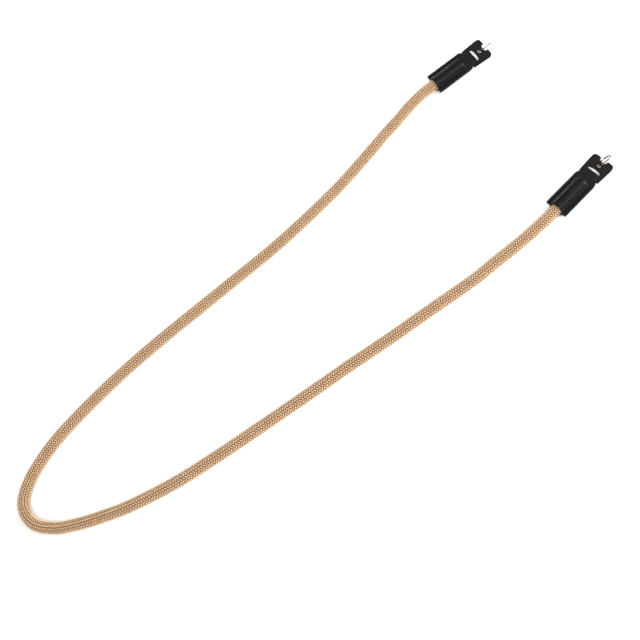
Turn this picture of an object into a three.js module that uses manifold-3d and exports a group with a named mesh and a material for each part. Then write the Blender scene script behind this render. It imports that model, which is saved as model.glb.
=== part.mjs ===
// Neck strap for a camera: one braided rope with both ends sewn into leather tips. Each tip's tongue
// is folded round the bar of a leather guard tab, and a ring passes through the hole of each guard.
// Millimetres, +Z up. The strap lies on the plane z = 0, and its origin is at the bottom centre of
// the box round the two leather ends, with the loop of the rope towards -Y.
import * as THREE from 'three';
import { mergeVertices } from 'three/addons/utils/BufferGeometryUtils.js';
import Module from 'manifold-3d';

const wasm = await Module();
wasm.setup();

// Rope
const ropeDiameter = 10;
const ropeSides = 12;
const ropeSteps = 80;
const ropeGrip = 30; // length of rope held inside a tip
const ropeExit = 12; // straight stretch in front of a tip's mouth

// Leather tip
const gap = 0.3; // clearance between pieces that touch on the real strap
const tipLayer = 1.3; // thickness of one layer of leather
const marginWidth = 3; // flat sewn margin beside the bulge
const domeLength = 5.5; // rounded end of the bulge
const domeOverlap = 1; // how far the rope's end reaches into the dome
const neckLength = 5; // flat stretch between the bulge and the guard
const tongueWidth = 10.4; // width where the tongue is folded round the guard's bar
const taperLead = 0.5; // the tip starts to narrow this far before the bulge's end
const bulgeSides = 28;
const domeSteps = 5;

// Guard tab
const guardThickness = 2;
const guardDrop = 1.3; // how far its middle lies below the rope's centre line
const legWidth = 3.9; // leather beside each end of the slot
const guardFlare = 1; // how much further out each far corner lies
const guardBaseRound = 1.2;
const guardFarRound = 5;
const barWidth = 4.5; // between the guard's near edge and its slot
const slotDaylight = 2.8; // open depth of the slot beyond the folded tongue
const slotEndDaylight = 1.4; // the same at the slot's two ends
const landWidth = 2.6; // between the slot and the ring's hole
const bridgeWidth = 2.7; // between the ring's hole and the notch
const notchWidth = 6;
const notchDepth = 3;
const notchRound = 1.6;

// Ring
const ringOuterDiameter = 14;
const ringWire = 1.4;
const ringSegments = 16;
const ringWireSides = 6;

// Where each tip's mouth lies, the direction of its tip in degrees from +X, and how many degrees
// the whole end lies rolled over, towards its right
const ends = {
  left: { x: -87.49, y: -31.54, heading: 96, roll: 24 },
  right: { x: 94.21, y: -31.54, heading: 104.5, roll: 15 },
};

// The free rope from the left tip to the right one: x, y, and how far it is still raised from
// lying flat (0) towards the height at which it enters a tip (1)
const ropeRoute = [
  [-81.9, -61.1, 0.68],
  [-75.1, -80.1, 0.3],
  [-68.9, -98.1, 0.07],
  [-61.5, -117.1, 0],
  [-47.5, -155.1, 0],
  [-36.7, -194.1, 0],
  [-28, -233.1, 0],
  [-21.8, -272.1, 0],
  [-15.9, -311.1, 0],
  [-9.8, -351.1, 0],
  [-2.3, -390.1, 0],
  [7.7, -429.1, 0],
  [20.7, -467.1, 0],
  [30.1, -484.5, 0],
  [41.5, -500.1, 0],
  [58.1, -511, 0],
  [77.8, -507.8, 0],
  [92, -493.5, 0],
  [100.9, -474.1, 0],
  [106.7, -455.1, 0],
  [111.5, -435.1, 0],
  [116, -396.1, 0],
  [116.4, -356.1, 0],
  [115.3, -316.1, 0],
  [113.8, -275.1, 0],
  [112, -235.1, 0],
  [110.9, -195.1, 0],
  [108.9, -156.1, 0],
  [107.1, -116.1, 0],
  [104.5, -96.1, 0.07],
  [102.5, -77.1, 0.3],
  [99.7, -57.1, 0.68],
];

// Sizes that follow from the ones above
const ropeRadius = ropeDiameter / 2;
const boreRadius = ropeRadius + gap;
const bulgeRadius = boreRadius + tipLayer;
const boreDepth = ropeGrip + gap;
const domeStart = ropeGrip - domeOverlap;
const sleeveLength = domeStart + domeLength;
const tipHalfWidth = bulgeRadius + marginWidth;
const tongueHalfWidth = tongueWidth / 2;
const axisHeight = bulgeRadius; // the bulge rests on the plane
const guardStart = sleeveLength + neckLength;
const barEnd = guardStart + barWidth;
const wrapHalfHeight = guardThickness / 2 + gap + tipLayer;
const noseEnd = barEnd + gap + tipLayer;
const noseStart = noseEnd - wrapHalfHeight;
const slotHalfLength = tongueHalfWidth + gap;
const slotDepth = gap + tipLayer + slotDaylight;
const slotEndDepth = gap + tipLayer + slotEndDaylight;
const guardBaseHalf = slotHalfLength + legWidth;
const guardFarHalf = guardBaseHalf + guardFlare;
const ringRadius = (ringOuterDiameter - ringWire) / 2;
const wireRadius = ringWire / 2;
const mostLean = Math.max(...Object.values(ends).map(ringLean));
const holeRadius = (guardThickness * Math.tan(mostLean) + ringWire / Math.cos(mostLean)) / 2 + gap;
const holeCentre = barWidth + slotDepth + landWidth + holeRadius;
const notchFloor = holeCentre + holeRadius + bridgeWidth;
const guardLength = notchFloor + notchDepth;

const nylon = new THREE.MeshStandardMaterial({ color: '#deb887', roughness: 0.75, metalness: 0 });
const tipLeather = new THREE.MeshStandardMaterial({ color: '#1b1b1d', roughness: 0.42, metalness: 0 });
const guardLeather = new THREE.MeshStandardMaterial({ color: '#2a2521', roughness: 0.62, metalness: 0 });
const nickel = new THREE.MeshStandardMaterial({ color: '#d8d6d0', roughness: 0.18, metalness: 1 });

// How far a ring leans from its guard's upright: it leans the way its end is rolled, until it rests
// on the plane
function ringLean(end) {
  const roll = THREE.MathUtils.degToRad(end.roll);
  const height = axisHeight - guardDrop * Math.cos(roll) - wireRadius;
  return Math.acos(Math.min(1, height / ringRadius)) - roll;
}

function toSolid(geometry) {
  const bare = geometry.clone();
  bare.deleteAttribute('normal');
  bare.deleteAttribute('uv');
  const merged = mergeVertices(bare, 1e-4);
  const triVerts = [];
  for (let k = 0; k < merged.index.count; k += 3) {
    const [a, b, c] = [0, 1, 2].map((n) => merged.index.getX(k + n));
    if (a !== b && b !== c && c !== a) triVerts.push(a, b, c);
  }
  return new wasm.Manifold(new wasm.Mesh({
    numProp: 3,
    vertProperties: new Float32Array(merged.attributes.position.array),
    triVerts: new Uint32Array(triVerts),
  }));
}

function toGeometry(solid) {
  const mesh = solid.getMesh();
  const geometry = new THREE.BufferGeometry();
  geometry.setAttribute('position', new THREE.BufferAttribute(mesh.vertProperties, 3));
  geometry.setIndex(new THREE.BufferAttribute(mesh.triVerts, 1));
  geometry.computeVertexNormals();
  return geometry;
}

// A solid of revolution round the tip's axis, from a profile of [distance along, radius]
function roundTipAxis(profile) {
  const points = profile.map(([along, radius]) => new THREE.Vector2(radius, along));
  return toSolid(new THREE.LatheGeometry(points, bulgeSides).rotateZ(-Math.PI / 2));
}

// Rounds each corner [x, y, round] of an outline with a curve that starts and ends that far from
// it, or at less than half the way to the next corner
function roundedOutline(corners) {
  const shape = new THREE.Shape();
  const mostOfEdge = 0.48;
  corners.forEach(([x, y, round], k) => {
    const corner = new THREE.Vector2(x, y);
    const towards = (row) => {
      const edge = new THREE.Vector2(row[0], row[1]).sub(corner);
      return edge.setLength(Math.min(round, mostOfEdge * edge.length())).add(corner);
    };
    const before = towards(corners[(k + corners.length - 1) % corners.length]);
    const after = towards(corners[(k + 1) % corners.length]);
    if (k === 0) shape.moveTo(before.x, before.y);
    else shape.lineTo(before.x, before.y);
    shape.quadraticCurveTo(x, y, after.x, after.y);
  });
  return shape;
}

// Side view of the folded strip: two layers that open round the guard's bar and close in a nose
function stripSide() {
  const bendMiddle = (sleeveLength + guardStart) / 2;
  const wrapBottom = -guardDrop - wrapHalfHeight;
  const wrapTop = -guardDrop + wrapHalfHeight;
  const side = new THREE.Shape();
  side.moveTo(0, -tipLayer);
  side.lineTo(sleeveLength, -tipLayer);
  side.bezierCurveTo(bendMiddle, -tipLayer, bendMiddle, wrapBottom, guardStart, wrapBottom);
  side.lineTo(noseStart, wrapBottom);
  side.absarc(noseStart, -guardDrop, wrapHalfHeight, -Math.PI / 2, Math.PI / 2, false);
  side.lineTo(guardStart, wrapTop);
  side.bezierCurveTo(bendMiddle, wrapTop, bendMiddle, tipLayer, sleeveLength, tipLayer);
  side.lineTo(0, tipLayer);
  side.closePath();
  return new THREE.ExtrudeGeometry(side, { depth: 2 * tipHalfWidth, curveSegments: 8, bevelEnabled: false })
    .rotateX(Math.PI / 2)
    .translate(0, tipHalfWidth, 0);
}

// Plan view of the strip: full width along the sleeve, then narrowing to the tongue
function stripPlan() {
  const taperStart = sleeveLength - taperLead;
  const taperMiddle = (taperStart + barEnd) / 2;
  const beyond = noseEnd + tipLayer;
  const plan = new THREE.Shape();
  plan.moveTo(0, -tipHalfWidth);
  plan.lineTo(taperStart, -tipHalfWidth);
  plan.bezierCurveTo(taperMiddle, -tipHalfWidth, taperMiddle, -tongueHalfWidth, barEnd, -tongueHalfWidth);
  plan.lineTo(beyond, -tongueHalfWidth);
  plan.lineTo(beyond, tongueHalfWidth);
  plan.lineTo(barEnd, tongueHalfWidth);
  plan.bezierCurveTo(taperMiddle, tongueHalfWidth, taperMiddle, tipHalfWidth, taperStart, tipHalfWidth);
  plan.lineTo(0, tipHalfWidth);
  plan.closePath();
  return new THREE.ExtrudeGeometry(plan, { depth: 2 * bulgeRadius, curveSegments: 8, bevelEnabled: false })
    .translate(0, 0, -bulgeRadius);
}

function leatherTip() {
  const bulge = [[0, 0], [0, bulgeRadius]];
  for (let k = 0; k <= domeSteps; k++) {
    const angle = (k / domeSteps) * (Math.PI / 2);
    bulge.push([domeStart + domeLength * Math.sin(angle), bulgeRadius * Math.cos(angle)]);
  }
  bulge[bulge.length - 1][1] = 0;
  const bore = [[-gap, 0], [-gap, boreRadius], [boreDepth, boreRadius], [boreDepth, 0]];
  const pocketHeight = guardThickness + 2 * gap;
  const barPocket = new THREE.BoxGeometry(barWidth + 2 * gap, 2 * tipHalfWidth + 2 * gap, pocketHeight)
    .translate(guardStart + barWidth / 2, 0, -guardDrop);
  const strip = toSolid(stripSide()).intersect(toSolid(stripPlan()));
  return toGeometry(strip.add(roundTipAxis(bulge)).subtract(roundTipAxis(bore)).subtract(toSolid(barPocket)));
}

// Flat tab with the slot for the tongue, the ring's hole and the notch in its far edge
function guardTab() {
  const notch = notchWidth / 2;
  const outline = roundedOutline([
    [0, -guardBaseHalf, guardBaseRound],
    [guardLength, -guardFarHalf, guardFarRound],
    [guardLength, -notch, notchRound],
    [notchFloor, -notch, notchRound],
    [notchFloor, notch, notchRound],
    [guardLength, notch, notchRound],
    [guardLength, guardFarHalf, guardFarRound],
    [0, guardBaseHalf, guardBaseRound],
  ]);
  const slot = new THREE.Path();
  slot.moveTo(barWidth, -slotHalfLength);
  slot.lineTo(barWidth, slotHalfLength);
  slot.lineTo(barWidth + slotEndDepth, slotHalfLength);
  slot.absellipse(barWidth + slotEndDepth, 0, slotDepth - slotEndDepth, slotHalfLength,
    Math.PI / 2, -Math.PI / 2, true);
  slot.closePath();
  const hole = new THREE.Path().absarc(holeCentre, 0, holeRadius, 0, 2 * Math.PI, true);
  outline.holes.push(slot, hole);
  return new THREE.ExtrudeGeometry(outline, { depth: guardThickness, curveSegments: 8, bevelEnabled: false })
    .translate(guardStart, 0, -guardDrop - guardThickness / 2);
}

function splitRing(end) {
  return new THREE.TorusGeometry(ringRadius, wireRadius, ringWireSides, ringSegments)
    .rotateX(Math.PI / 2 + ringLean(end))
    .translate(guardStart + holeCentre + ringRadius, 0, -guardDrop);
}

// The rope's centre line: from its end inside the left tip, along the route, to the right tip
function ropeLine() {
  const along = (end, distance) => {
    const angle = THREE.MathUtils.degToRad(end.heading);
    const [dx, dy] = [distance * Math.cos(angle), distance * Math.sin(angle)];
    return new THREE.Vector3(end.x + dx, end.y + dy, axisHeight);
  };
  const free = ropeRoute.map(([x, y, raised]) =>
    new THREE.Vector3(x, y, ropeRadius + raised * (axisHeight - ropeRadius)));
  return new THREE.CatmullRomCurve3([
    ...[ropeGrip, 0, -ropeExit].map((distance) => along(ends.left, distance)),
    ...free,
    ...[-ropeExit, 0, ropeGrip].map((distance) => along(ends.right, distance)),
  ]);
}

function braidedRope() {
  const corners = [];
  for (let k = 0; k < ropeSides; k++) {
    const angle = ((k + 0.5) / ropeSides) * 2 * Math.PI;
    corners.push(new THREE.Vector2(ropeRadius * Math.cos(angle), ropeRadius * Math.sin(angle)));
  }
  return new THREE.ExtrudeGeometry(new THREE.Shape(corners), { steps: ropeSteps, extrudePath: ropeLine() });
}

function named(name, geometry, material) {
  const mesh = new THREE.Mesh(geometry, material);
  mesh.name = name;
  return mesh;
}

const strap = new THREE.Group();
strap.add(named('rope', braidedRope(), nylon));
for (const [side, end] of Object.entries(ends)) {
  const group = new THREE.Group();
  const [roll, heading] = [end.roll, end.heading].map(THREE.MathUtils.degToRad);
  group.position.set(end.x, end.y, axisHeight);
  group.rotation.set(roll, 0, heading, 'ZYX');
  group.add(
    named(`${side}_tip`, leatherTip(), tipLeather),
    named(`${side}_guard`, guardTab(), guardLeather),
    named(`${side}_ring`, splitRing(end), nickel),
  );
  strap.add(group);
}

export default strap;
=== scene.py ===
# Camera neck strap of braided rope with leather ends, laid down flat and seen from above.
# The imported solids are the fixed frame; this script builds the detailed pieces round them.
import math

import bpy
import numpy as np
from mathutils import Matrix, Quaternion, Vector, noise


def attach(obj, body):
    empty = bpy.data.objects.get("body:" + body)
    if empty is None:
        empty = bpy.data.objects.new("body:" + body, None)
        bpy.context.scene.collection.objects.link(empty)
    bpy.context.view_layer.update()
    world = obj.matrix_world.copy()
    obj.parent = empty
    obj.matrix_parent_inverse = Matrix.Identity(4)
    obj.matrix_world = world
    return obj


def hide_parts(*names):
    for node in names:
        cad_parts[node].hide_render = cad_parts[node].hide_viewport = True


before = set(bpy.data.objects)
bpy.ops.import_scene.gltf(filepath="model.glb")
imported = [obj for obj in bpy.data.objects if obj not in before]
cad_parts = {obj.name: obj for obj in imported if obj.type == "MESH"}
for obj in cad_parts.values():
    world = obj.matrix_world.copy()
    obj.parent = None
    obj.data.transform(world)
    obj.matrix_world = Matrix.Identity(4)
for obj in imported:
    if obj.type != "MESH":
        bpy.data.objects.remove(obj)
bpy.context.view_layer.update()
print("frame loaded:", len(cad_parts), "solids")

mm = 0.001


def srgb(hexColour):
    channels = [int(hexColour[k:k + 2], 16) / 255 for k in (1, 3, 5)]
    return [c / 12.92 if c <= 0.04045 else ((c + 0.055) / 1.055) ** 2.4 for c in channels] + [1.0]


# Adds one node. Its settings are keyword arguments, values and links go by socket name or number
def addNode(tree, kind, values=None, links=None, stops=None, **settings):
    node = tree.nodes.new("ShaderNode" + kind)
    for name, value in settings.items():
        setattr(node, name, value)
    for socket, value in (values or {}).items():
        node.inputs[socket].default_value = value
    for socket, source in (links or {}).items():
        tree.links.new(source, node.inputs[socket])
    if stops:
        for element, (place, colour) in zip(node.color_ramp.elements, stops):
            element.position = place
            element.color = srgb(colour)
    return node


def newMaterial(name):
    material = bpy.data.materials.new(name)
    material.use_nodes = True
    material.node_tree.nodes.clear()
    return material, material.node_tree


def newPiece(name, vertices, faces, materials, replaced=()):
    mesh = bpy.data.meshes.new(name)
    mesh.from_pydata(vertices, [], faces)
    mesh.validate()
    mesh.shade_smooth()
    for material in materials:
        mesh.materials.append(material)
    piece = bpy.data.objects.new(name, mesh)
    bpy.context.scene.collection.objects.link(piece)
    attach(piece, "root")
    if replaced:
        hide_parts(*replaced)
    return piece


# A value for each vertex, which a material reads by its name
def addValues(piece, name, values):
    attribute = piece.data.attributes.new(name, "FLOAT", "POINT")
    attribute.data.foreach_set("value", np.asarray(values, np.float32))


def addUv(piece, name, uv):
    layer = piece.data.uv_layers.new(name=name)
    corner = np.zeros(len(piece.data.loops), np.int32)
    piece.data.loops.foreach_get("vertex_index", corner)
    layer.data.foreach_set("uv", uv[corner].astype(np.float32).ravel())


# Quads of a grid of rings: each ring has the same number of corners, and closes on itself
def ringFaces(rings, corners):
    faces = []
    for ring in range(rings - 1):
        a = ring * corners
        for k in range(corners):
            n = (k + 1) % corners
            faces.append((a + k, a + n, a + corners + n, a + corners + k))
    return faces


# The flat ends of a tube of rings
def endCaps(rings, corners):
    last = (rings - 1) * corners
    return [tuple(range(corners))[::-1], tuple(range(last, last + corners))]


# The camera stands to the right of the strap, high up, and is turned about its line of sight
photoView = {
    "lens": 55.0,  # mm, on a sensor 36 mm wide
    "place": (0.5081, -0.2681, 0.6456),
    "lookAt": (0.0608, -0.2344, 0.0050),
    "roll": -29.0,  # degrees
}


def addCamera():
    data = bpy.data.cameras.new("photoCamera")
    data.lens = photoView["lens"]
    data.sensor_width = 36
    camera = bpy.data.objects.new("photoCamera", data)
    bpy.context.scene.collection.objects.link(camera)
    camera.location = photoView["place"]
    sight = Vector(photoView["lookAt"]) - Vector(photoView["place"])
    camera.rotation_mode = "QUATERNION"
    turn = Quaternion((0, 0, 1), math.radians(photoView["roll"]))
    camera.rotation_quaternion = sight.to_track_quat("-Z", "Y") @ turn
    bpy.context.scene.camera = camera


addCamera()

# Where each leather end's mouth lies, in metres, the direction of the end, and how far it is rolled over
ends = {
    "left": {"mouth": (-0.08749, -0.03154), "heading": 96.0, "roll": 24.0},
    "right": {"mouth": (0.09421, -0.03154), "heading": 104.5, "roll": 15.0},
}
axisHeight = 6.6  # mm, of the rope's centre line in both mouths


# Points given in mm from the rope's centre in a mouth, x along the end, to metres in the frame
def fromMouth(end, points):
    points = np.asarray(points, float) * mm
    heading, roll = math.radians(end["heading"]), math.radians(end["roll"])
    along = points[..., 0]
    across = points[..., 1] * math.cos(roll) - points[..., 2] * math.sin(roll)
    height = points[..., 1] * math.sin(roll) + points[..., 2] * math.cos(roll) + axisHeight * mm
    x = end["mouth"][0] + along * math.cos(heading) - across * math.sin(heading)
    y = end["mouth"][1] + along * math.sin(heading) + across * math.cos(heading)
    return np.stack([x, y, np.maximum(height, 0.01 * mm)], axis=-1)


rope = {
    "diameter": 10.0,  # mm
    "grip": 30.0,  # length inside each leather end
    "exit": 12.0,  # straight stretch in front of each mouth
    "columns": 12,  # columns of strand floats round the rope
    "pitch": 2.25,  # from one float to the next in a column
    "crest": 5.05,  # distance from the rope's centre line to the top of a float
    "core": 3.55,  # radius of the filling that shows in the gaps
    "dive": 3.4,  # where the floats pass under the crossing strands
    "turns": (-6.5, 6.5),  # degrees that the columns are turned about the centre line at its two ends
    "unevenness": 0.03,  # mm along the rope, and the same share of a float's height
    "strandShades": 0.1,  # how much the strands differ in tone, and below the floats of one strand
    "floatShades": 0.12,
    "coreShade": 0.2,
    "seed": 11,
}

# The free rope from the left end to the right one, in metres
ropeRoute = [
    (-0.0819, -0.0611, 0.00609),
    (-0.0751, -0.0801, 0.00548),
    (-0.0689, -0.0981, 0.00511),
    (-0.0615, -0.1171, 0.00500),
    (-0.0475, -0.1551, 0.00500),
    (-0.0367, -0.1941, 0.00500),
    (-0.0280, -0.2331, 0.00500),
    (-0.0218, -0.2721, 0.00500),
    (-0.0159, -0.3111, 0.00500),
    (-0.0098, -0.3511, 0.00500),
    (-0.0023, -0.3901, 0.00500),
    (0.0077, -0.4291, 0.00500),
    (0.0207, -0.4671, 0.00500),
    (0.0301, -0.4845, 0.00500),
    (0.0415, -0.5001, 0.00500),
    (0.0581, -0.5110, 0.00500),
    (0.0778, -0.5078, 0.00500),
    (0.0920, -0.4935, 0.00500),
    (0.1009, -0.4741, 0.00500),
    (0.1067, -0.4551, 0.00500),
    (0.1115, -0.4351, 0.00500),
    (0.1160, -0.3961, 0.00500),
    (0.1164, -0.3561, 0.00500),
    (0.1153, -0.3161, 0.00500),
    (0.1138, -0.2751, 0.00500),
    (0.1120, -0.2351, 0.00500),
    (0.1109, -0.1951, 0.00500),
    (0.1089, -0.1561, 0.00500),
    (0.1071, -0.1161, 0.00500),
    (0.1045, -0.0961, 0.00511),
    (0.1025, -0.0771, 0.00548),
    (0.0997, -0.0571, 0.00609),
]


# A centripetal Catmull-Rom curve through the points, the line that the solid rope follows too
def smoothLine(points, steps=24):
    points = np.asarray(points, float)
    points = np.vstack([2 * points[0] - points[1], points, 2 * points[-1] - points[-2]])
    t = (np.arange(steps) / steps)[:, None]
    line = []
    for p0, p1, p2, p3 in zip(points, points[1:], points[2:], points[3:]):
        d0, d1, d2 = (math.sqrt(np.linalg.norm(b - a)) for a, b in ((p0, p1), (p1, p2), (p2, p3)))
        m1 = d1 * ((p1 - p0) / d0 - (p2 - p0) / (d0 + d1) + (p2 - p1) / d1)
        m2 = d1 * ((p2 - p1) / d1 - (p3 - p1) / (d1 + d2) + (p3 - p2) / d2)
        line.append(p1 + t * m1 + t ** 2 * (3 * (p2 - p1) - 2 * m1 - m2)
                    + t ** 3 * (2 * (p1 - p2) + m1 + m2))
    return np.vstack([*line, points[-2]])


def ropeLine():
    straight = [(distance, 0, 0) for distance in (rope["grip"], 0, -rope["exit"])]
    leaving = fromMouth(ends["left"], straight)
    arriving = fromMouth(ends["right"], straight)[::-1]
    return smoothLine(np.vstack([leaving, np.array(ropeRoute), arriving]))


centreLine = ropeLine()
lineSteps = np.linalg.norm(np.diff(centreLine, axis=0), axis=1)
lineWay = np.concatenate([[0], np.cumsum(lineSteps)])
lineTangent = np.gradient(centreLine, lineWay, axis=0)
lineTangent /= np.linalg.norm(lineTangent, axis=1)[:, None]
lineSide = np.cross([0, 0, 1], lineTangent)
lineSide /= np.linalg.norm(lineSide, axis=1)[:, None]
lineUp = np.cross(lineTangent, lineSide)
print(f"rope line: {lineWay[-1]:.3f} m")


# Points on the rope: way along the line and radius in metres, angle round it in radians
def onRope(way, angle, radius):
    def along(values):
        return np.stack([np.interp(way, lineWay, values[:, k]) for k in range(3)], axis=-1)
    out = along(lineSide) * np.cos(angle)[..., None] + along(lineUp) * np.sin(angle)[..., None]
    return along(centreLine) + out * radius[..., None]


# Nylon yarn, dyed in the mass and braided: a soft satin sheen along its filaments, and painted shade that
# darkens the gaps between the floats
def braidedNylon():
    material, tree = newMaterial("braidedNylon")
    # The filaments are 0.03 mm thick, too fine to show, so bundles of 0.15 mm are drawn
    way = addNode(tree, "UVMap", uv_map="strandWay")
    stretched = addNode(tree, "Mapping", {"Scale": (0.45, 6.5, 1)}, {"Vector": way.outputs["UV"]})
    filaments = addNode(tree, "TexNoise", {"Scale": 1.0, "Detail": 3.0, "Roughness": 0.6},
                        {"Vector": stretched.outputs["Vector"]})
    tone = addNode(tree, "Attribute", attribute_name="strandTone")
    drawn = addNode(tree, "Math", {1: 0.5}, {0: filaments.outputs["Fac"]}, operation="MULTIPLY")
    shade = addNode(tree, "Math", {}, {0: drawn.outputs[0], 1: tone.outputs["Fac"]}, operation="ADD")
    dyed = addNode(tree, "ValToRGB", {}, {"Fac": shade.outputs[0]}, [(0.1, "#B7936E"), (0.7, "#D9BC97")])
    # Painted shade: the colour is multiplied towards dark brown where the surface lies deep between the
    # floats and on the core
    depth = addNode(tree, "Attribute", attribute_name="strandDepth")
    shaded = addNode(tree, "MapRange", {"From Min": 0.25, "From Max": 0.8}, {"Value": depth.outputs["Fac"]})
    paintedGapShade = addNode(tree, "Mix", {7: srgb("#7C614A")}, {0: shaded.outputs[0], 6: dyed.outputs["Color"]},
                   data_type="RGBA", blend_type="MULTIPLY")
    raised = addNode(tree, "Bump", {"Strength": 0.6, "Distance": 0.00006},
                     {"Height": filaments.outputs["Fac"]})
    shader = addNode(tree, "BsdfPrincipled",
                     {"Roughness": 0.55, "IOR": 1.53, "Sheen Weight": 0.03, "Sheen Roughness": 0.4},
                     {"Base Color": paintedGapShade.outputs[2], "Normal": raised.outputs["Normal"]})
    addNode(tree, "OutputMaterial", {}, {"Surface": shader.outputs["BSDF"]})
    return material


# Every visible float of the braid is a small pillow: its sides dip between its neighbours, and its
# ends dive under the strands that cross it
def strandFloats():
    lay = rope["pitch"] * rope["columns"]
    slant = math.atan2(2 * math.pi * rope["crest"], lay)  # of a strand, from the rope's own direction
    width = rope["pitch"] * math.sin(slant)
    rows = int(lineWay[-1] / mm / rope["pitch"])
    start = (lineWay[-1] / mm - rows * rope["pitch"]) / 2
    chance = np.random.default_rng(rope["seed"])
    column, row = (a.ravel() for a in np.meshgrid(np.arange(rope["columns"]), np.arange(rows)))
    even = column % 2 == 0
    side = np.where(even, 1, -1)
    middle = start + (row + np.where(even, 0.25, 0.75)) * rope["pitch"]
    middle = middle + chance.normal(0, rope["unevenness"], len(column))
    strands = rope["columns"]  # as many run each way round
    strand = np.where(even, (column - row) % strands, strands + (column + row) % strands)
    strandTone = (chance.uniform(0, rope["strandShades"], 2 * strands)[strand]
                  + chance.uniform(0, rope["floatShades"], len(column)))
    lift = np.clip(1 + chance.normal(0, rope["unevenness"], len(column)), 0.9, 1.1)

    alongs = np.array([-1.2, -0.58, 0, 0.58, 1.2]) * width
    acrosses = np.array([-0.5, -0.27, 0, 0.27, 0.5]) * width
    along, across = (a[None] for a in np.meshgrid(alongs, acrosses, indexing="ij"))
    crown = np.array([-0.1, 0.62, 1, 0.62, -0.1])[None, None, :]
    raised = np.array([0, 0.86, 1, 0.86, 0])[None, :, None]
    top = rope["core"] + (rope["crest"] - rope["core"]) * crown * lift[:, None, None]
    radius = raised * top + (1 - raised) * rope["dive"]
    s = side[:, None, None]
    way = middle[:, None, None] + along * math.cos(slant) - s * across * math.sin(slant)
    round_ = s * along * math.sin(slant) + across * math.cos(slant)
    angle = (column * 2 * math.pi / rope["columns"])[:, None, None] + round_ / rope["crest"]
    way = np.clip(way * mm, 0, lineWay[-1])
    angle = angle + np.radians(np.interp(way, lineWay[[0, -1]], rope["turns"]))
    vertices = onRope(way, angle, np.broadcast_to(radius, way.shape) * mm).reshape(-1, 3)
    shift = chance.uniform(0, 50, len(column))[:, None, None]
    uv = np.stack(np.broadcast_arrays(along + shift, across + shift * 0.7), axis=-1).reshape(-1, 2)
    # How deep each corner lies below the crests; the material paints shade by it
    depth = np.clip((rope["crest"] - radius) / (rope["crest"] - rope["core"]), 0, 1)
    depth = np.broadcast_to(depth, way.shape).ravel()

    corners = len(alongs) * len(acrosses)
    grid = np.arange(corners).reshape(len(alongs), len(acrosses))
    quads = np.stack([grid[:-1, :-1], grid[:-1, 1:], grid[1:, 1:], grid[1:, :-1]], axis=-1).reshape(-1, 4)
    faces = (quads + corners * np.arange(len(column))[:, None, None]).reshape(-1, 4)
    return vertices, faces.tolist(), uv, np.repeat(strandTone, corners), depth


def ropeCore():
    corners, rings = 16, 300
    way = np.linspace(0, lineWay[-1], rings)[:, None] * np.ones((1, corners))
    angle = np.ones((rings, 1)) * (np.arange(corners) * 2 * math.pi / corners)[None]
    vertices = onRope(way, angle, np.full(way.shape, rope["core"] * mm)).reshape(-1, 3)
    return vertices, ringFaces(rings, corners) + endCaps(rings, corners)


def makeRope():
    vertices, faces, uv, tone, depth = strandFloats()
    coreVertices, coreFaces = ropeCore()
    count, extra = len(vertices), len(coreVertices)
    everything = np.vstack([vertices, coreVertices])
    justAboveFloor = 0.02 * mm
    everything[:, 2] = np.maximum(everything[:, 2], justAboveFloor)
    faces += [[count + i for i in face] for face in coreFaces]
    piece = newPiece("braided_rope", everything.tolist(), faces, [braidedNylon()], ["rope"])
    addValues(piece, "strandTone", np.concatenate([tone, np.full(extra, rope["coreShade"])]))
    # The depth sets the painted shade in the gaps; the core counts as fully deep, so it is painted darkest
    addValues(piece, "strandDepth", np.concatenate([depth, np.ones(extra)]))
    addUv(piece, "strandWay", np.vstack([uv, np.zeros((extra, 2))]))
    print("rope braided:", len(piece.data.polygons), "faces")


makeRope()

gap = 0.3  # mm between pieces that touch on the real strap
guard = {
    "thickness": 2.0,  # mm
    "drop": 1.3,  # how far its middle lies below the rope's centre line
    "barWidth": 4.5,  # from its near edge to the slot
    "legWidth": 3.9,  # beside each end of the slot
    "flare": 1.0,  # by which each side widens towards the far edge
    "baseRound": 1.2,
    "farRound": 5.0,
    "slotDaylight": 2.8,  # the open part of the slot, beyond the tongue
    "slotEndDaylight": 1.4,
    "landWidth": 2.6,  # from the slot to the ring's hole
    "bridgeWidth": 2.7,  # from the hole to the notch
    "notchWidth": 6.0,
    "notchDepth": 3.0,
    "notchRound": 1.6,
    "edgeRound": 0.45,
    "meshSize": 0.25,
    "unevenness": 0.12,  # waves in the free part, which fade out towards the bar
    "waves": 0.11,  # per mm
    "fadeStart": 1.0,  # beyond the bar
    "fadeLength": 6.0,
}
tip = {
    "layer": 1.3,  # mm, thickness of the leather
    "margin": 3.0,  # flat and sewn, beside the bulge
    "domeStart": 29.0,
    "domeLength": 5.5,
    "neck": 5.0,  # from the bulge to the guard
    "tongue": 10.4,  # width where it is folded round the guard's bar
    "taperLead": 0.5,
    "seam": 0.03,  # half the line that shows between the two layers
    "foot": 0.35,  # fillet between the bulge and its margins
    "cutRound": 0.3,
    "mouthRound": 0.32,  # how far the edge of the mouth is rounded off outside
    "mouthInner": 0.6,  # the share of that inside
    "mouthLength": 0.35,
    "edgeWear": 0.6,
    "unevenness": 0.05,
}
stitch = {
    "pitch": 4.4,  # mm
    "first": 2.2,
    "last": 32.0,
    "line": 7.4,  # from the middle of the tip
    "halfLength": 1.55,  # of the thread that shows
    "slant": 26.0,  # degrees from the seam
    "thread": 0.5,  # radius
    "endSize": 0.75,  # of the thread, where it goes into its hole
    "rise": 0.05,
    "dip": 0.5,
    "turnDown": 3.2,  # how late and steeply the thread turns down into its holes
    "pull": 0.4,  # how deep the leather is drawn in at each stitch
    "follow": 0.8,  # the share of that by which the thread sinks too
    "pullWidth": 0.55,  # across the seam
    "pullShape": 1.5,  # more than 1 leaves a longer flat between two stitches
    "pullBefore": 1.5,  # from the first stitch back
    "pullBeyond": 1.0,
}

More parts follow.
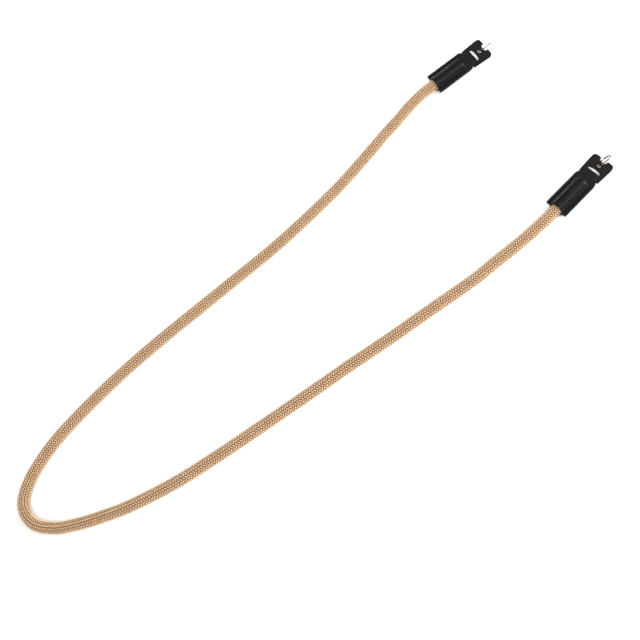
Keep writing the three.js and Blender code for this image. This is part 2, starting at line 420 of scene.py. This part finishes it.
bulge = rope["diameter"] / 2 + gap + tip["layer"]
sleeveEnd = tip["domeStart"] + tip["domeLength"]
guardStart = sleeveEnd + tip["neck"]
barEnd = guardStart + guard["barWidth"]
tipHalf = bulge + tip["margin"]
tongueHalf = tip["tongue"] / 2
barHalf = guard["thickness"] / 2 + gap  # half the height of the fold's inside
noseStart = barEnd + gap - barHalf


def bezier(points, steps):
    t = np.linspace(0, 1, steps)[:, None]
    p0, p1, p2, p3 = (np.array(p, float) for p in points)
    return (1 - t) ** 3 * p0 + 3 * (1 - t) ** 2 * t * p1 + 3 * (1 - t) * t ** 2 * p2 + t ** 3 * p3


# The strip's inner face in side view: out along the lower layer, round the guard's bar, back along the upper
def foldedStrip():
    domeEnd = math.acos(tip["layer"] / bulge)
    dome = tip["domeStart"] + tip["domeLength"] * np.sin(np.linspace(0, domeEnd, 15))
    sleeve = np.concatenate([[0, 0.12, 0.35, 0.8], np.arange(1.3, tip["domeStart"] - 0.3, 0.65), dome])
    height, bend = -guard["drop"], (sleeveEnd + guardStart) / 2
    halves = []
    for sign in (-1, 1):
        flat, bar = sign * tip["seam"], height + sign * barHalf
        over = np.linspace(guardStart, noseStart, 6)[1:]
        halves.append(np.vstack([
            np.stack([sleeve, np.full(len(sleeve), flat)], axis=1),
            bezier([(sleeveEnd, flat), (bend, flat), (bend, bar), (guardStart, bar)], 12),
            np.stack([over, np.full(len(over), bar)], axis=1),
        ]))
    arc = np.linspace(-math.pi / 2, math.pi / 2, 16)[1:-1]
    nose = np.stack([noseStart + barHalf * np.cos(arc), height + barHalf * np.sin(arc)], axis=1)
    path = np.vstack([halves[0], nose, halves[1][::-1]])
    way = np.gradient(path, axis=0)
    way /= np.linalg.norm(way, axis=1)[:, None]
    return path, np.stack([way[:, 1], -way[:, 0]], axis=1)


taperStart = sleeveEnd - tip["taperLead"]
taperMiddle = (taperStart + barEnd) / 2
taper = bezier([(taperStart, tipHalf), (taperMiddle, tipHalf),
                (taperMiddle, tongueHalf), (barEnd, tongueHalf)], 60)


# Half of the strip's outer line across the tip, from its middle to the cut edge: y, height, direction out
def acrossHalf(x, lying):
    layer, foot = tip["layer"], tip["foot"]
    half = float(np.interp(x, taper[:, 0], taper[:, 1]))
    flatEnd = half - tip["cutRound"]
    share = min(max((x - tip["domeStart"]) / tip["domeLength"], 0), 1)
    radius = bulge * math.sqrt(1 - share ** 2)
    arcCount, footCount, flatCount = 14, 5, 9
    if lying and radius > layer:
        touch = math.asin((layer + foot) / (radius + foot))
        footY = (radius + foot) * math.cos(touch)
        arc = np.linspace(math.pi / 2, touch, arcCount)
        turn = np.linspace(touch + math.pi, 1.5 * math.pi, footCount + 1)[1:]
        flat = np.linspace(footY, flatEnd, flatCount + 1)[1:]
        y = np.concatenate([radius * np.cos(arc), footY + foot * np.cos(turn), flat])
        h = np.concatenate([radius * np.sin(arc), layer + foot + foot * np.sin(turn),
                            np.full(len(flat), layer)])
        ny = np.concatenate([np.cos(arc), -np.cos(turn), np.zeros(len(flat))])
        nh = np.concatenate([np.sin(arc), -np.sin(turn), np.ones(len(flat))])
    else:
        y = np.linspace(0, flatEnd, arcCount + footCount + flatCount)
        h, ny, nh = np.full(len(y), layer), np.zeros(len(y)), np.ones(len(y))
    return y, h, ny, nh, half


# How deep the thread draws the leather in: most in the middle of a stitch, not at all between two
def stitchPull(x, y):
    if not stitch["first"] - stitch["pullBefore"] < x < stitch["last"] + stitch["pullBeyond"]:
        return np.zeros(len(y))
    wave = 0.5 + 0.5 * math.cos(2 * math.pi * (x - stitch["first"]) / stitch["pitch"])
    across = np.exp(-((y - stitch["line"]) / stitch["pullWidth"]) ** 2)
    return stitch["pull"] * wave ** stitch["pullShape"] * across


# A line across the whole tip from the values of its half
def bothHalves(y, h):
    return np.stack([np.concatenate([-y[::-1], y[1:]]), np.concatenate([h[::-1], h[1:]])], axis=1)


# One section of the strip: outer line and inner line, closed round the two cut edges
def stripRing(x, z, outward, lying, rim):
    y, h, ny, nh, half = acrossHalf(x, lying)
    layer, cut, seamRound = tip["layer"], tip["cutRound"], 0.15
    innerY, innerH = y - layer * ny, np.where(ny == 0, 0, h - layer * nh)
    pull = stitchPull(x, y) * (ny == 0) if lying else 0
    y, h = y - rim * ny, h - rim * nh - pull
    inside = tip["mouthInner"] * rim
    innerY, innerH = innerY + inside * ny, innerH + inside * nh
    edge = np.radians([60, 30, 0])
    y = np.concatenate([y, half - cut + cut * np.cos(edge)])
    h = np.concatenate([h, layer - rim - cut + cut * np.sin(edge)])
    ny, nh = np.concatenate([ny, np.cos(edge)]), np.concatenate([nh, np.sin(edge)])
    innerY = np.concatenate([innerY, half - seamRound + seamRound * np.cos(edge)])
    innerH = np.concatenate([innerH, seamRound - seamRound * np.sin(edge)])
    outer, inner, outNormal = bothHalves(y, h), bothHalves(innerY, innerH), bothHalves(ny, nh)
    ring = np.vstack([outer, inner[::-1]])
    placed = np.stack([x + outward[0] * ring[:, 1], ring[:, 0], z + outward[1] * ring[:, 1]], axis=1)
    normal = np.stack([outward[0] * outNormal[:, 1], outNormal[:, 0], outward[1] * outNormal[:, 1]], axis=1)
    uneven = np.array([noise.noise(Vector(p) * 0.35) + 0.5 * noise.noise(Vector(p) * 0.9)
                       for p in placed[:len(outer)]])
    placed[:len(outer)] += normal * uneven[:, None] * tip["unevenness"]
    return placed, len(outer)


# Vegetable-tanned cowhide, dyed black and pressed smooth: a shallow grain and a broad soft gloss
def blackCowhide():
    material, tree = newMaterial("blackCowhide")
    place = addNode(tree, "TexCoord")
    # Pores lie 0.3 mm apart on the hide; they are drawn at 0.7 mm so that they show
    pores = addNode(tree, "TexVoronoi", {"Scale": 1400.0}, {"Vector": place.outputs["Object"]},
                    feature="DISTANCE_TO_EDGE")
    folds = addNode(tree, "TexNoise", {"Scale": 420.0, "Detail": 5.0, "Roughness": 0.6},
                    {"Vector": place.outputs["Object"]})
    clouds = addNode(tree, "TexNoise", {"Scale": 110.0, "Detail": 3.0}, {"Vector": place.outputs["Object"]})
    edge = addNode(tree, "Attribute", attribute_name="edgeWear")
    dyed = addNode(tree, "ValToRGB", {}, {"Fac": clouds.outputs["Fac"]},
                   [(0.3, "#050505"), (0.75, "#0B0A0A")])
    worn = addNode(tree, "Mix", {7: srgb("#2A2725")}, {0: edge.outputs["Fac"], 6: dyed.outputs["Color"]},
                   data_type="RGBA")
    poreBump = addNode(tree, "Bump", {"Strength": 0.12, "Distance": 0.00006},
                       {"Height": pores.outputs["Distance"]})
    foldBump = addNode(tree, "Bump", {"Strength": 0.16, "Distance": 0.0002},
                       {"Height": folds.outputs["Fac"], "Normal": poreBump.outputs["Normal"]})
    gloss = addNode(tree, "MapRange", {"From Min": 0.3, "From Max": 0.7, "To Min": 0.36, "To Max": 0.42},
                    {"Value": folds.outputs["Fac"]})
    shader = addNode(tree, "BsdfPrincipled", {"IOR": 1.5, "Specular IOR Level": 0.12},
                     {"Base Color": worn.outputs[2], "Roughness": gloss.outputs[0],
                      "Normal": foldBump.outputs["Normal"]})
    addNode(tree, "OutputMaterial", {}, {"Surface": shader.outputs["BSDF"]})
    return material


# The cut edges of the strip, sanded and burnished with wax: darker, smoother, faint fibres along them
def burnishedEdge():
    material, tree = newMaterial("burnishedEdge")
    place = addNode(tree, "TexCoord")
    fibres = addNode(tree, "TexNoise", {"Scale": 900.0, "Detail": 3.0}, {"Vector": place.outputs["Object"]})
    waxed = addNode(tree, "ValToRGB", {}, {"Fac": fibres.outputs["Fac"]},
                    [(0.3, "#090808"), (0.8, "#171413")])
    bump = addNode(tree, "Bump", {"Strength": 0.4, "Distance": 0.0001}, {"Height": fibres.outputs["Fac"]})
    shader = addNode(tree, "BsdfPrincipled", {"Roughness": 0.5, "IOR": 1.48, "Specular IOR Level": 0.3},
                     {"Base Color": waxed.outputs["Color"], "Normal": bump.outputs["Normal"]})
    addNode(tree, "OutputMaterial", {}, {"Surface": shader.outputs["BSDF"]})
    return material


hide, hideEdge = blackCowhide(), burnishedEdge()


def makeTip(side, end):
    path, outward = foldedStrip()
    rings, outerCount = [], 0
    for (x, z), out in zip(path, outward):
        lying = x <= sleeveEnd - 0.05
        rim = tip["mouthRound"] * max(0, 1 - x / tip["mouthLength"]) ** 2
        ring, outerCount = stripRing(x, z, out, lying, rim)
        rings.append(ring)
    rings = np.array(rings)
    corners = rings.shape[1]
    faces = ringFaces(len(rings), corners)
    for ring, turned in ((0, True), (len(rings) - 1, False)):
        a = ring * corners
        for k in range(outerCount - 1):
            quad = (a + k, a + k + 1, a + corners - 2 - k, a + corners - 1 - k)
            faces.append(quad[::-1] if turned else quad)
    vertices = fromMouth(end, rings.reshape(-1, 3))
    piece = newPiece(f"{side}_tip_leather", vertices.tolist(), faces, [hide, hideEdge],
                     [f"{side}_tip"])
    nearEdge = np.zeros(corners)
    nearEdge[[0, 1, 2, outerCount - 3, outerCount - 2, outerCount - 1]] = tip["edgeWear"]
    addValues(piece, "edgeWear", np.tile(nearEdge, len(rings)))
    cutSides = {outerCount - 1, corners - 1}
    for face in piece.data.polygons[:(len(rings) - 1) * corners]:
        if face.index % corners in cutSides:
            face.material_index = 1
    print(f"{side} tip folded:", len(piece.data.polygons), "faces")


for side, end in ends.items():
    makeTip(side, end)


# Bonded polyester thread, rubbed with beeswax: a dull black that is darker than the leather round it
def waxedThread():
    material, tree = newMaterial("waxedThread")
    way = addNode(tree, "UVMap", uv_map="threadWay")
    twist = addNode(tree, "TexWave", {"Scale": 0.9, "Distortion": 0.4}, {"Vector": way.outputs["UV"]},
                    bands_direction="DIAGONAL")
    lit = addNode(tree, "ValToRGB", {}, {"Fac": twist.outputs["Fac"]}, [(0.2, "#020202"), (0.9, "#080808")])
    bump = addNode(tree, "Bump", {"Strength": 0.6, "Distance": 0.00008}, {"Height": twist.outputs["Fac"]})
    shader = addNode(tree, "BsdfPrincipled", {"Roughness": 0.65, "IOR": 1.55, "Specular IOR Level": 0.05},
                     {"Base Color": lit.outputs["Color"], "Normal": bump.outputs["Normal"]})
    addNode(tree, "OutputMaterial", {}, {"Surface": shader.outputs["BSDF"]})
    return material


# A closed tube along points, thinner at both ends
def threadTube(points, corners=8):
    way = np.gradient(points, axis=0)
    way /= np.linalg.norm(way, axis=1)[:, None]
    side = np.cross(way, [0, 0, 1])
    side /= np.linalg.norm(side, axis=1)[:, None]
    up = np.cross(way, side)
    angle = np.arange(corners) * 2 * math.pi / corners
    size = np.full(len(points), stitch["thread"])
    size[[0, -1]] *= stitch["endSize"]
    rings = points[:, None] + size[:, None, None] * (np.cos(angle)[None, :, None] * side[:, None]
                                                    + np.sin(angle)[None, :, None] * up[:, None])
    distance = np.linspace(0, 2 * stitch["halfLength"], len(points))
    uv = np.stack(np.broadcast_arrays(distance[:, None], angle[None] * 0.3), axis=-1)
    faces = ringFaces(len(points), corners) + endCaps(len(points), corners)
    return rings.reshape(-1, 3), faces, uv.reshape(-1, 2)


def makeStitches(side, end, thread):
    vertices, faces, uvs = [], [], []
    count = 0
    slant = math.radians(stitch["slant"])
    share = np.linspace(-1, 1, 7)
    lift = stitch["rise"] - (stitch["rise"] + stitch["dip"]) * np.abs(share) ** stitch["turnDown"]
    face = tip["seam"] + tip["layer"] - stitch["pull"] * stitch["follow"]
    for layer in (1, -1):
        for edge in (1, -1):
            for x in np.arange(stitch["first"], stitch["last"], stitch["pitch"]):
                points = np.stack([x + share * stitch["halfLength"] * math.cos(slant),
                                   edge * stitch["line"] + share * stitch["halfLength"] * math.sin(slant),
                                   layer * (face + lift)], axis=1)
                tube, tubeFaces, uv = threadTube(points)
                vertices.append(tube)
                uvs.append(uv)
                faces += [tuple(count + i for i in f) for f in tubeFaces]
                count += len(tube)
    piece = newPiece(f"{side}_stitches", fromMouth(end, np.vstack(vertices)).tolist(), faces, [thread])
    addUv(piece, "threadWay", np.vstack(uvs))
    print(f"{side} tip sewn:", len(faces), "faces")


thread = waxedThread()
for side, end in ends.items():
    makeStitches(side, end, thread)

ring = {
    "outer": 14.0,  # mm
    "wire": 1.4,  # both turns together
    "turnWidth": 1.36,
    "turnHeight": 0.66,
    "jog": 26.0,  # degrees in which the wire changes from one turn to the other
    "seamAt": 62.0,  # where on the ring that is
    "stepsPerTurn": 96,
    "cutGap": 0.03,  # radians from the step to each cut end of the wire
    "corners": 14,  # round the wire
    "squareness": 0.7,  # 1 is an oval wire
}
ringRadius = (ring["outer"] - ring["wire"]) / 2


# How far a ring leans from its guard's upright until it rests on the floor
def ringLean(end):
    roll = math.radians(end["roll"])
    height = axisHeight - guard["drop"] * math.cos(roll) - ring["wire"] / 2
    return math.acos(height / ringRadius) - roll


mostLean = max(ringLean(end) for end in ends.values())
holeRadius = (guard["thickness"] * math.tan(mostLean) + ring["wire"] / math.cos(mostLean)) / 2 + gap
slotDepth = gap + tip["layer"] + guard["slotDaylight"]
holeCentre = guard["barWidth"] + slotDepth + guard["landWidth"] + holeRadius


# Rounds each corner [x, y, round] of an outline with a curve that starts and ends that far from it
def roundedOutline(corners, steps=8):
    points = []
    for k, (x, y, size) in enumerate(corners):
        corner = np.array([x, y], float)
        curve = []
        for other in (corners[k - 1], corners[(k + 1) % len(corners)]):
            edge = np.array(other[:2], float) - corner
            reach = min(size, 0.48 * np.linalg.norm(edge))
            curve.append(corner + edge / np.linalg.norm(edge) * reach)
        for t in np.linspace(0, 1, steps):
            points.append((1 - t) ** 2 * curve[0] + 2 * t * (1 - t) * corner + t ** 2 * curve[1])
    return np.array(points)


def guardOutlines():
    slotHalf = tongueHalf + gap
    slotEnd = gap + tip["layer"] + guard["slotEndDaylight"]
    baseHalf = slotHalf + guard["legWidth"]
    farHalf, notch = baseHalf + guard["flare"], guard["notchWidth"] / 2
    notchFloor = holeCentre + holeRadius + guard["bridgeWidth"]
    length = notchFloor + guard["notchDepth"]
    outline = roundedOutline([
        (0, -baseHalf, guard["baseRound"]),
        (length, -farHalf, guard["farRound"]),
        (length, -notch, guard["notchRound"]),
        (notchFloor, -notch, guard["notchRound"]),
        (notchFloor, notch, guard["notchRound"]),
        (length, notch, guard["notchRound"]),
        (length, farHalf, guard["farRound"]),
        (0, baseHalf, guard["baseRound"]),
    ])
    straight = guard["barWidth"] + slotEnd
    slot = [(guard["barWidth"], -slotHalf), (guard["barWidth"], slotHalf)]
    slot += [(straight + (slotDepth - slotEnd) * math.cos(a), slotHalf * math.sin(a))
             for a in np.linspace(math.pi / 2, -math.pi / 2, 28)]
    hole = [(holeCentre + holeRadius * math.cos(a), holeRadius * math.sin(a))
            for a in np.linspace(0, -2 * math.pi, 40, endpoint=False)]
    return [outline, np.array(slot), np.array(hole)]


# Chrome-tanned leather with a matt, waxed face: warm black, browner where edges rub
def mattLeather():
    material, tree = newMaterial("mattLeather")
    place = addNode(tree, "TexCoord")
    pores = addNode(tree, "TexVoronoi", {"Scale": 1100.0}, {"Vector": place.outputs["Object"]},
                    feature="DISTANCE_TO_EDGE")
    creases = addNode(tree, "TexNoise", {"Scale": 380.0, "Detail": 6.0, "Roughness": 0.65},
                      {"Vector": place.outputs["Object"]})
    shape = addNode(tree, "NewGeometry")
    rubbed = addNode(tree, "MapRange", {"From Min": 0.52, "From Max": 0.62, "To Min": 0.0, "To Max": 0.55},
                     {"Value": shape.outputs["Pointiness"]})
    dyed = addNode(tree, "ValToRGB", {}, {"Fac": creases.outputs["Fac"]},
                   [(0.3, "#0A0807"), (0.75, "#15110E")])
    worn = addNode(tree, "Mix", {7: srgb("#2B2019")}, {0: rubbed.outputs[0], 6: dyed.outputs["Color"]},
                   data_type="RGBA")
    poreBump = addNode(tree, "Bump", {"Strength": 0.35, "Distance": 0.0001},
                       {"Height": pores.outputs["Distance"]})
    creaseBump = addNode(tree, "Bump", {"Strength": 0.5, "Distance": 0.0003},
                         {"Height": creases.outputs["Fac"], "Normal": poreBump.outputs["Normal"]})
    gloss = addNode(tree, "MapRange", {"From Min": 0.3, "From Max": 0.7, "To Min": 0.52, "To Max": 0.7},
                    {"Value": creases.outputs["Fac"]})
    shader = addNode(tree, "BsdfPrincipled", {"IOR": 1.5, "Specular IOR Level": 0.12},
                     {"Base Color": worn.outputs[2], "Roughness": gloss.outputs[0],
                      "Normal": creaseBump.outputs["Normal"]})
    addNode(tree, "OutputMaterial", {}, {"Surface": shader.outputs["BSDF"]})
    return material


def makeGuard(side, end, leather):
    curve = bpy.data.curves.new("guardOutline", "CURVE")
    curve.dimensions = "2D"
    curve.fill_mode = "BOTH"
    curve.bevel_depth = guard["edgeRound"]
    curve.bevel_resolution = 4
    curve.offset = -guard["edgeRound"]
    curve.extrude = guard["thickness"] / 2 - guard["edgeRound"]
    for outline in guardOutlines():
        spline = curve.splines.new("POLY")
        spline.points.add(len(outline) - 1)
        for point, (x, y) in zip(spline.points, outline):
            point.co = (x, y, 0, 1)
        spline.use_cyclic_u = True
    cutOut = bpy.data.objects.new("guardCut", curve)
    bpy.context.scene.collection.objects.link(cutOut)
    remesh = cutOut.modifiers.new("even", "REMESH")
    remesh.mode = "VOXEL"
    remesh.voxel_size = guard["meshSize"]
    soften = cutOut.modifiers.new("soften", "SMOOTH")
    soften.iterations = 5
    soften.factor = 0.5
    shaped = cutOut.evaluated_get(bpy.context.evaluated_depsgraph_get())
    mesh = bpy.data.meshes.new_from_object(shaped)
    bpy.data.objects.remove(cutOut)
    points = np.empty(len(mesh.vertices) * 3)
    mesh.vertices.foreach_get("co", points)
    points = points.reshape(-1, 3)
    wave = np.array([noise.noise(Vector((x * guard["waves"], y * guard["waves"], 3.0)))
                     for x, y, z in points])
    beyondBar = points[:, 0] - guard["barWidth"] - guard["fadeStart"]
    beyondBar = np.clip(beyondBar / guard["fadeLength"], 0, 1)
    points[:, 2] += wave * guard["unevenness"] * beyondBar
    points += np.array([guardStart, 0, -guard["drop"]])
    faces = [tuple(p.vertices) for p in mesh.polygons]
    piece = newPiece(f"{side}_guard_leather", fromMouth(end, points).tolist(), faces, [leather],
                     [f"{side}_guard"])
    print(f"{side} guard cut:", len(piece.data.polygons), "faces")


guardHide = mattLeather()
for side, end in ends.items():
    makeGuard(side, end, guardHide)


# Spring steel with a bright nickel plate, tumbled: a mirror that handling has greyed and marked finely
def brightNickel():
    material, tree = newMaterial("brightNickel")
    place = addNode(tree, "TexCoord")
    marks = addNode(tree, "TexNoise", {"Scale": 2600.0, "Detail": 4.0}, {"Vector": place.outputs["Object"]})
    clouds = addNode(tree, "TexNoise", {"Scale": 320.0, "Detail": 2.0}, {"Vector": place.outputs["Object"]})
    colour = addNode(tree, "ValToRGB", {}, {"Fac": clouds.outputs["Fac"]},
                     [(0.3, "#8A847C"), (0.7, "#A8A299")])
    rough = addNode(tree, "MapRange", {"From Min": 0.3, "From Max": 0.7, "To Min": 0.12, "To Max": 0.26},
                    {"Value": marks.outputs["Fac"]})
    bump = addNode(tree, "Bump", {"Strength": 0.08, "Distance": 0.00004}, {"Height": marks.outputs["Fac"]})
    shader = addNode(tree, "BsdfPrincipled", {"Metallic": 1.0},
                     {"Base Color": colour.outputs["Color"], "Roughness": rough.outputs[0],
                      "Normal": bump.outputs["Normal"]})
    addNode(tree, "OutputMaterial", {}, {"Surface": shader.outputs["BSDF"]})
    return material


# Two turns of flattened wire, one on the other, with a step where the one passes into the other
def makeRing(side, end, metal):
    jog = math.radians(ring["jog"])
    first, last = jog / 2 + ring["cutGap"], 4 * math.pi - jog / 2 - ring["cutGap"]
    angle = np.linspace(first, last, 2 * ring["stepsPerTurn"])
    rise = np.clip((angle - 2 * math.pi + jog / 2) / jog, 0, 1)
    level = ring["wire"] / 4 * (2 * rise ** 2 * (3 - 2 * rise) - 1)
    corner = -np.arange(ring["corners"]) * 2 * math.pi / ring["corners"]
    out, up = (size / 2 * np.sign(part) * np.abs(part) ** ring["squareness"] for size, part in
               ((ring["turnWidth"], np.cos(corner)), (ring["turnHeight"], np.sin(corner))))
    turn = angle[:, None] + math.radians(ring["seamAt"])
    radius = ringRadius + out[None]
    flat = np.stack([radius * np.cos(turn), radius * np.sin(turn), level[:, None] + up[None]], axis=-1)
    tilt = math.pi / 2 + ringLean(end)
    placed = flat.copy()
    placed[..., 1] = flat[..., 1] * math.cos(tilt) - flat[..., 2] * math.sin(tilt)
    placed[..., 2] = flat[..., 1] * math.sin(tilt) + flat[..., 2] * math.cos(tilt)
    placed += np.array([guardStart + holeCentre + ringRadius, 0, -guard["drop"]])
    faces = ringFaces(len(angle), len(corner)) + endCaps(len(angle), len(corner))
    piece = newPiece(f"{side}_split_ring", fromMouth(end, placed.reshape(-1, 3)).tolist(), faces, [metal],
                     [f"{side}_ring"])
    print(f"{side} ring wound:", len(piece.data.polygons), "faces")


nickel = brightNickel()
for side, end in ends.items():
    makeRing(side, end, nickel)

studio = {
    "floorSize": 8.0,  # metres
    "aim": (0.03, -0.24, 0.0),
    "world": "#FFFFFF",
    "worldStrength": 0.34,
    # name: place, size, watts
    "lights": {
        "keyLight": ((1.05, -0.75, 1.35), 0.9, 27.0),
        "fillLight": ((0.9, 0.45, 0.8), 0.6, 8.5),
        "topLight": ((0.0, 0.42, 1.0), 0.5, 2.0),
        "backLight": ((-0.62, 0.0, 0.31), 0.12, 2.8),
        "endLight": ((0.35, 0.95, 0.36), 0.35, 13.0),
    },
}


# Painted board, plain and matt
def paleBoard():
    material, tree = newMaterial("paleBoard")
    place = addNode(tree, "TexCoord")
    paint = addNode(tree, "TexNoise", {"Scale": 3.0, "Detail": 2.0}, {"Vector": place.outputs["Object"]})
    colour = addNode(tree, "ValToRGB", {}, {"Fac": paint.outputs["Fac"]},
                     [(0.3, "#F3F2F0"), (0.7, "#F6F5F3")])
    shader = addNode(tree, "BsdfPrincipled", {"Roughness": 0.9}, {"Base Color": colour.outputs["Color"]})
    addNode(tree, "OutputMaterial", {}, {"Surface": shader.outputs["BSDF"]})
    return material


def addLight(name, place, size, power):
    data = bpy.data.lights.new(name, "AREA")
    data.size = size
    data.energy = power
    light = bpy.data.objects.new(name, data)
    bpy.context.scene.collection.objects.link(light)
    light.location = place
    light.rotation_mode = "QUATERNION"
    light.rotation_quaternion = (Vector(studio["aim"]) - Vector(place)).to_track_quat("-Z", "Y")


def addStudio():
    half = studio["floorSize"] / 2
    mesh = bpy.data.meshes.new("floor")
    corners = [(-half, -half, 0), (half, -half, 0), (half, half, 0), (-half, half, 0)]
    mesh.from_pydata(corners, [], [(0, 1, 2, 3)])
    mesh.materials.append(paleBoard())
    floor = bpy.data.objects.new("floor", mesh)
    bpy.context.scene.collection.objects.link(floor)
    for name, (place, size, power) in studio["lights"].items():
        addLight(name, place, size, power)
    world = bpy.data.worlds.new("studioWorld")
    world.use_nodes = True
    background = world.node_tree.nodes["Background"]
    background.inputs["Color"].default_value = srgb(studio["world"])
    background.inputs["Strength"].default_value = studio["worldStrength"]
    bpy.context.scene.world = world
    bpy.context.scene.view_settings.view_transform = "Standard"
    print("studio lit")


addStudio()
